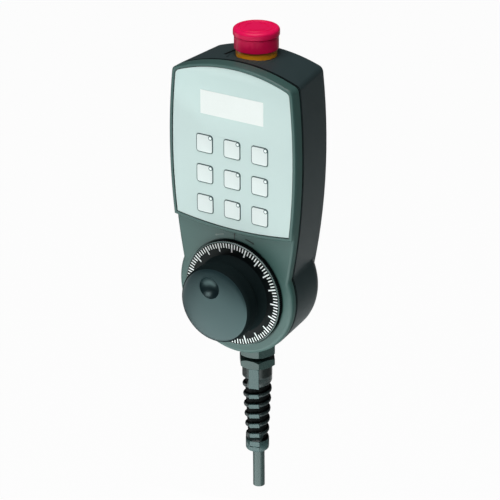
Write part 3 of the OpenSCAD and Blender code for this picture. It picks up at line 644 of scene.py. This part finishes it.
wheel = {
    "axisZ": -84, "dialFront": -50.6, "dialBack": -46.0,
    "knobHeight": 23.1, "foot": 28.5, "waist": 25.5, "waistHeight": 6.4, "grip": 27.8,
    "crown": 3.4, "dome": 0.4, "lean": 12, "knobSides": 128, "throatSteps": 16, "sideFrom": -0.8,
    "dimpleRadius": 8.0, "dimpleDepth": 6.0, "dimpleAt": (-3.56, 12.4),
    "dialRadius": 37.5, "brightTo": 37.95, "edgeRadius": 38.2, "edgeRound": 0.3,
    "knurls": 300, "knurlDepth": 0.01,
    "ticks": 100, "tickOut": 37.0, "tickIn": 33.6, "tickLong": 31.0, "tickWidth": 0.75,
    "tickWide": 0.95, "tickThick": 0.08,
}


def knobRings(values):
    # foot, a throat on one arc, the straight grip, a rounded crown and a slightly domed face
    foot, waist, grip, crown, dome = (values[k] for k in ("foot", "waist", "grip", "crown", "dome"))
    throat, high, steps = values["waistHeight"], values["knobHeight"], values["throatSteps"]
    sweep = foot - waist
    curve = (throat ** 2 + sweep ** 2) / (2 * sweep)
    top = throat + math.sqrt(curve ** 2 - (curve - (grip - waist)) ** 2)
    rings = [(foot, 0)]
    for i in range(1, steps + 1):
        h = top * i / steps
        rings.append((waist + curve - math.sqrt(curve ** 2 - (h - throat) ** 2), h))
    rings += [(grip, top + 0.5), (grip, high - dome - crown - 0.4)]
    flat = grip - crown
    rings += roundCorner(flat, high - dome - crown, crown, 0, 84, 12)
    face = (23, 21, 19, 17, 15, 12, 9, 6, 3, 1)
    return rings + [(radius, high - dome * (radius / flat) ** 2) for radius in face]


def cutDimple(knob, values):
    # a finger dimple: part of a ball, sunk to its depth below the face
    radius, depth = values["dimpleRadius"], values["dimpleDepth"]
    ball = (radius ** 2 + depth ** 2) / (2 * depth)
    faceY = values["dialFront"] - values["knobHeight"]
    x, z = values["dimpleAt"]
    letGo()
    bpy.ops.mesh.primitive_uv_sphere_add(
        segments=96, ring_count=48, radius=ball * mm, rotation=(math.pi / 2, 0, 0),
        location=(x * mm, (faceY + depth - ball) * mm, (values["axisZ"] + z) * mm))
    cutter = bpy.context.object
    take(knob)
    cut = knob.modifiers.new("dimple", "BOOLEAN")
    cut.object = cutter
    cut.operation = "DIFFERENCE"
    bpy.ops.object.modifier_apply(modifier=cut.name)
    bpy.data.objects.remove(cutter)


def makeKnob(values):
    knob = turnedPiece("knob_moulding", knobRings(values), values["knobSides"],
                       (0, values["dialFront"], values["axisZ"]), "FRONT")
    settle(knob)
    cutDimple(knob, values)
    knob.data.materials.clear()
    knob.data.materials.append(knobPolyamide)
    settle(knob, 35)
    x, z = values["dimpleAt"]

    # painted shade on the faces that turn from the front, away from the dimple
    def onShadedSide(centre, normal):
        away = math.hypot(centre.x - x * mm, centre.z - (values["axisZ"] + z) * mm)
        return normal.y > values["sideFrom"] and away >= values["dimpleRadius"] * mm
    paint(knob, knobShadeSide, onShadedSide)
    softFace(knob, values)
    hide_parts("handwheel_knob")
    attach(knob, "wheel")


def softFace(knob, values):
    # hands have worn the flat face soft: its shading leans outwards step by step to the crown
    axis = Vector((0, 0, values["axisZ"] * mm))
    faceY = (values["dialFront"] - values["knobHeight"]) * mm
    edge = (values["grip"] - values["crown"]) * mm
    knob.data.update()
    normals = []
    for loop in knob.data.loops:
        place = knob.data.vertices[loop.vertex_index].co
        normal = Vector(knob.data.corner_normals[loop.index].vector)
        out = Vector((place.x, 0, place.z - axis.z))
        away = min(out.length / edge, 1)
        if normal.y < -0.9 and place.y < faceY + values["crown"] * mm:
            lean = math.tan(math.radians(values["lean"])) * away ** 1.5
            normal = (normal + out.normalized() * lean).normalized() if out.length else normal
        normals.append(normal)
    knob.data.normals_split_custom_set(normals)


def makeDial(values):
    # the dial's plate, its rim finely knurled and the chamfer at its front edge painted pale as a
    # highlight
    steps, depth = values["knurls"], values["dialBack"] - values["dialFront"]
    edge, rim = values["edgeRadius"], values["edgeRound"]
    rings = [(edge - rim, -depth), (edge, -depth + rim), (edge, -0.7), (values["brightTo"], -0.3),
             (values["dialRadius"], 0), (20, 0), (2, 0)]
    dial = turnedPiece("dial_plate", rings, steps, (0, values["dialFront"], values["axisZ"]),
                       "FRONT")
    inward = 1 - values["knurlDepth"]
    for vertex in dial.data.vertices:
        radius = math.hypot(vertex.co.x, vertex.co.y)
        turn = round(math.atan2(vertex.co.y, vertex.co.x) / (2 * math.pi) * steps)
        if radius > edge * mm * inward and turn % 2:  # every other point of the rim is drawn in
            vertex.co.x *= inward
            vertex.co.y *= inward
    dial.data.materials.append(dialAnodised)
    settle(dial, 25)

    # the chamfer's ring takes the painted highlight
    def onPaintedHighlight(centre, normal):
        radius = math.hypot(centre.x, centre.z - values["axisZ"] * mm)
        return values["dialRadius"] * mm * 0.999 < radius < values["brightTo"] * mm
    paint(dial, dialEdgeHighlight, onPaintedHighlight)
    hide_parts("dial_disc")
    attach(dial, "wheel")


def makeTicks(values):
    # the scale: one raised bar per division, every fifth longer and wider
    ticks = []
    for number in range(values["ticks"]):
        isLong = number % 5 == 0
        inner = values["tickLong"] if isLong else values["tickIn"]
        width = values["tickWide"] if isLong else values["tickWidth"]
        length = values["tickOut"] - inner
        letGo()
        bpy.ops.mesh.primitive_cube_add(size=1)
        tick = bpy.context.object
        tick.scale = (width * mm, values["tickThick"] * mm, length * mm)
        turn = 2 * math.pi * number / values["ticks"]
        reach = (inner + length / 2) * mm
        tick.rotation_euler = (0, turn, 0)
        tick.location = (reach * math.sin(turn), (values["dialFront"] - 0.01) * mm,
                         values["axisZ"] * mm + reach * math.cos(turn))
        ticks.append(tick)
    scale = joined("dial_divisions", ticks)
    settle(scale)
    scale.data.materials.append(whiteInk)
    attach(scale, "wheel")


makeKnob(wheel)
makeDial(wheel)
makeTicks(wheel)
print("stage: handwheel done")


stopHead = {
    "axisY": -18.5, "low": 85.4, "top": 100.7, "pit": 14.4, "pitTop": 89.8, "footRound": 0.6,
    "skirt": 15.15, "cap": 15.9, "capHeight": 5.7, "rimRound": 0.6, "shoulder": 2.3, "dome": 0.12,
    "groove": 11.6, "grooveDepth": 0.5, "sides": 128,
    "arrows": 3, "arrowRadius": 8.0, "arrowWidth": 1.3, "arrowHead": 3.2, "arrowTip": 0.05,
    "arrowLift": 0.3, "arrowSunk": 0.3, "arrowRise": 0.5, "arrowRound": 0.12,
    "arrowSpan": 78, "arrowStart": 30, "arrowSteps": 14, "arrowPoint": 4,
    "collar": 14.0, "collarLow": 80.5, "collarHeight": 4.9, "collarBore": 11.1, "collarRound": 0.5,
    "springLow": 51.6, "springShare": 0.815,
}


def makeStopHead(values):
    low, top = values["low"], values["top"] - values["arrowLift"]
    skirt, cap, dome = values["skirt"], values["cap"], values["dome"]
    capLow = values["top"] - values["capHeight"]
    foot, rim, shoulder = values["footRound"], values["rimRound"], values["shoulder"]
    flat = cap - shoulder
    groove, sunk = values["groove"], values["grooveDepth"]

    def crownAt(radius, drop=0):
        return radius, top - dome * (radius / flat) ** 2 - drop
    # the pit under the head, the skirt, a fine step, the cap, and the groove in its crown
    rings = [(values["pit"], values["pitTop"]), (values["pit"], low)]
    rings += roundCorner(skirt - foot, low + foot, foot, -90, 0, 6)
    rings += [(skirt, capLow - 0.5), (skirt - 0.15, capLow - 0.25), (skirt + 0.1, capLow)]
    rings += roundCorner(cap - rim, capLow + rim, rim, -60, 0, 4)
    rings += roundCorner(flat, top - dome - shoulder, shoulder, 0, 86, 12)
    rings += [crownAt(groove + 0.6), crownAt(groove + 0.2, sunk), crownAt(groove - 0.2, sunk),
              crownAt(groove - 0.6)]
    rings += [crownAt(radius) for radius in (9, 7, 5, 3, 0.8)]
    head = turnedPiece("stop_head_moulding", rings, values["sides"], (0, values["axisY"], 0))
    head.data.materials.append(stopRed)
    settle(head, 40)
    evenNormals(head)
    arrows = [makeArrow(values, number) for number in range(values["arrows"])]
    head = joined("stop_head_moulding", [head] + arrows)
    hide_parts("estop_head")
    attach(head, "stop_head")


def makeArrow(values, number):
    # a raised turning arrow on the crown of the head
    start = math.radians(360 / values["arrows"] * number + values["arrowStart"])
    span = math.radians(values["arrowSpan"])
    floor = (values["top"] - values["arrowLift"] - values["arrowSunk"]) * mm

    def placeAt(along, offset):
        radius, angle = values["arrowRadius"] + offset, start + span * along
        return (radius * math.cos(angle) * mm,
                values["axisY"] * mm + radius * math.sin(angle) * mm, floor)
    arrow = bentArrow(values["arrowSteps"], values["arrowPoint"], values["arrowWidth"],
                      values["arrowHead"], values["arrowTip"], placeAt,
                      (0, 0, values["arrowRise"] * mm))
    arrow.data.materials.append(stopRed)
    settle(arrow, 30)
    softenEdges(arrow, values["arrowRound"], 2, 40)
    return settle(arrow, 30)


def makeCollar(values):
    # the yellow ring under the head, its top edge rounded
    bore, collar, edge = values["collarBore"], values["collar"], values["collarRound"]
    low = values["collarLow"]
    top = low + values["collarHeight"]
    rings = [(bore, top)] + roundCorner(collar - edge, top - edge, edge, 90, 0, 4)
    rings += [(collar, low + 0.2), (collar - 0.2, low), (bore, low)]
    ring = turnedPiece("collar_moulding", rings, 96, (0, values["axisY"], 0))
    ring.data.materials.append(collarYellow)
    settle(ring, 40)
    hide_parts("estop_collar")
    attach(ring, "housing")


def makeSpring():
    # the return spring keeps the solid's shape and rides on the housing
    spring = mergedCopy("estop_spring", "return_spring", 60, False)
    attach(spring, "housing")
    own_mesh(spring)


makeStopHead(stopHead)
makeCollar(stopHead)
makeSpring()
print("stage: stop head done")


gland = {"edge": 0.2, "sleeveTop": -150.3}


def makeHexagons(values):
    # the two hexagons keep the solids' shape; their edges are softened and the sleeve is painted
    # darker as shade
    def isShadedSleeve(centre, normal):
        return centre.z < values["sleeveTop"] * mm and abs(normal.z) < 0.5
    for node in ("gland_body", "gland_nut"):
        piece = mergedCopy(node, node + "_moulding", 12)
        softenEdges(piece, values["edge"], 2, 25)
        if node == "gland_nut":
            paint(piece, sleeveShadePolyamide, isShadedSleeve)
        take(piece)
        bpy.ops.object.shade_smooth_by_angle(angle=math.radians(25))
        evenNormals(piece)
        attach(piece, "housing")


makeHexagons(gland)


bendGuard = {
    "axisY": -18.5, "ringRadius": 10.7, "endRadius": 8.4, "taperFrom": -168, "collarTop": -209.6,
    "strandLow": -158.9, "strandHigh": -159.1, "pitch": 8, "slot": 3.8, "firstTurn": 0.9375,
    "slotMargin": 0.5, "upward": 0.72, "inward": -0.2,
    "coreTop": 8.6, "coreBottom": 6.6, "coreFrom": -157.0, "coreTo": -209.0,
    "ribs": 5, "ribTurn": -71.5, "ribWidth": 7.4, "ribThick": 1.6, "ribLift": 0.12,
    "ribRound": 0.35, "ribShort": 0.35, "sleeveRib": (-166.2, -150.6),
    "tabs": ((-213.4, -209.3), (-217.2, -213.7)),
}


def makeGuard(values):
    # the coil's own shape; its strands and the slots between them are painted darker, as shade
    guard = mergedCopy("bend_spiral", "bend_guard_moulding", 40, False)
    axisY, collarTop = values["axisY"] * mm, values["collarTop"] * mm

    # painted shade on the slot faces that look up or inwards
    def inSlotShade(centre, normal):
        out = math.hypot(centre.x, centre.y - axisY)
        faced = (centre.x * normal.x + (centre.y - axisY) * normal.y) / max(out, mm)
        isHollow = normal.z > values["upward"] or faced < values["inward"]
        return centre.z > (values["collarTop"] - values["slotMargin"]) * mm and isHollow
    # painted shade: everything above the end collar takes the darker copy
    paint(guard, strandShadePolyamide, lambda centre, normal: centre.z > collarTop)
    paint(guard, slotShadePolyamide, inSlotShade)
    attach(guard, "housing")


def makeCore(values):
    # the slots stop at a core tube round the cable, painted black as the shade inside the guard
    rings = [(values["coreTop"], values["coreFrom"]), (values["coreTop"], values["taperFrom"]),
             (values["coreBottom"], values["coreTo"])]
    core = turnedPiece("bend_guard_core", rings, 64, (0, values["axisY"], 0))
    core.data.materials.append(slotShadePolyamide)
    settle(core, 40)
    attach(core, "housing")


def ribBlock(values, low, high, lean=0):
    middle = (low + high) / 2
    start, end = values["taperFrom"], values["collarTop"]
    share = min(1, max(0, (start - middle) / (start - end)))
    narrowing = (values["endRadius"] - values["ringRadius"]) * share
    radius = values["ringRadius"] + narrowing + values["ribLift"]
    turn, thick = math.radians(values["ribTurn"]), values["ribThick"]
    out = (radius - thick / 2) * mm
    letGo()
    bpy.ops.mesh.primitive_cube_add(size=1)
    block = bpy.context.object
    block.scale = (thick * mm, values["ribWidth"] * mm, (high - low) * mm)
    block.rotation_euler = (lean, 0, turn)
    block.location = (out * math.cos(turn), values["axisY"] * mm + out * math.sin(turn),
                      middle * mm)
    settle(block)
    softenEdges(block, values["ribRound"], 3)
    return settle(block, 40)


def makeRibs(values):
    # a flat rib runs down one side of the guard, over each strand, to a split tab on its end collar
    blocks = [ribBlock(values, *values["sleeveRib"])]
    pitch, short = values["pitch"], values["ribShort"]
    slope = math.atan(pitch / (2 * math.pi * values["ringRadius"]))
    for number in range(1, values["ribs"] + 1):
        turn = values["firstTurn"] + number
        low = values["strandLow"] - pitch * turn
        high = values["strandHigh"] - values["slot"] - pitch * (turn - 1)
        blocks.append(ribBlock(values, low + short, high - short, slope))
    blocks += [ribBlock(values, *tab) for tab in values["tabs"]]
    ribs = joined("bend_guard_ribs", blocks)
    ribs.data.materials.append(coilPolyamide)
    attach(ribs, "housing")


makeGuard(bendGuard)
makeRibs(bendGuard)
makeCore(bendGuard)
print("stage: gland done")


# Lamps: turn and lift in degrees round the pendant, distance, width, height and power.
# The bounce comes up from the white floor in front, a little green
light = {
    "lamps": {
        "bounce": (-86, -46, 0.8, 1.75, 0.9, 14.6),
        "top": (-78, 72, 1.6, 1.2, 1.2, 24),
        "side": (-166, -14, 1.4, 0.7, 0.7, 2.5),
        "low": (-25, -60, 0.9, 1.0, 0.8, 0.4),
        "back": (105, -20, 1.4, 1.0, 1.0, 2),
    },
    "tints": {"bounce": (0.87, 1, 0.985)}, "aim": (0, -0.03, -0.05),
    "worldPlain": 0.08, "worldGloss": 0.07,
    "floor": -0.95, "floorSize": 12, "paper": 0.86, "paperRough": 0.8, "shadowShare": 0.03,
}


def makeLamp(name, values):
    turn, lift, distance, width, height, power = values["lamps"][name]
    turn, lift = math.radians(turn), math.radians(lift)
    out = Vector((math.cos(turn) * math.cos(lift), math.sin(turn) * math.cos(lift), math.sin(lift)))
    letGo()
    bpy.ops.object.light_add(type="AREA", location=Vector(values["aim"]) + out * distance)
    lamp = bpy.context.object
    lamp.name = name
    lamp.data.shape = "RECTANGLE"
    lamp.data.size = width
    lamp.data.size_y = height
    lamp.data.energy = power
    lamp.data.color = values["tints"].get(name, (1, 1, 1))
    lamp.visible_camera = False
    lamp.rotation_euler = (-out).to_track_quat("-Z", "Y").to_euler()


def makeWorld(values):
    # white to the camera, and a faint plain light to everything else
    world = bpy.data.worlds.new("studio")
    bpy.context.scene.world = world
    world.use_nodes = True
    tree = world.node_tree
    tree.nodes.clear()
    path = addNode(tree, "ShaderNodeLightPath")
    plain, gloss, white = (
        addNode(tree, "ShaderNodeBackground", {"Color": (1, 1, 1, 1), "Strength": strength})
        for strength in (values["worldPlain"], values["worldGloss"], 1.0))
    shiny = addNode(tree, "ShaderNodeMath", {"operation": "MAXIMUM"}, {
        0: path.outputs["Is Glossy Ray"], 1: path.outputs["Is Transmission Ray"]})
    unseen = addNode(tree, "ShaderNodeMixShader", links={
        0: shiny.outputs[0], 1: plain.outputs[0], 2: gloss.outputs[0]})
    every = addNode(tree, "ShaderNodeMixShader", links={
        0: path.outputs["Is Camera Ray"], 1: unseen.outputs[0], 2: white.outputs[0]})
    addNode(tree, "ShaderNodeOutputWorld", links={"Surface": every.outputs[0]})


def makeFloor(values):
    # white paper that keeps a share of the pendant's shadow
    letGo()
    bpy.ops.mesh.primitive_plane_add(size=values["floorSize"], location=(0, 0, values["floor"]))
    floor = bpy.context.object
    floor.name = "floor"
    paper, tree, shader = newFinish("whitePaper")
    shader.inputs["Base Color"].default_value = [values["paper"]] * 3 + [1]
    shader.inputs["Roughness"].default_value = values["paperRough"]
    path = addNode(tree, "ShaderNodeLightPath")
    glow = addNode(tree, "ShaderNodeEmission", {"Color": (1, 1, 1, 1), "Strength": 1.0})
    share = addNode(tree, "ShaderNodeMath", {"operation": "MULTIPLY", 1: 1 - values["shadowShare"]},
                    {0: path.outputs["Is Camera Ray"]})
    both = addNode(tree, "ShaderNodeMixShader", links={
        0: share.outputs[0], 1: shader.outputs[0], 2: glow.outputs[0]})
    result = [node for node in tree.nodes if node.type == "OUTPUT_MATERIAL"][0]
    tree.links.new(both.outputs[0], result.inputs["Surface"])
    floor.data.materials.append(paper)


for lampName in light["lamps"]:
    makeLamp(lampName, light)
makeWorld(light)
makeFloor(light)
bpy.context.scene.view_settings.view_transform = "Standard"
print("stage: light and ground done")
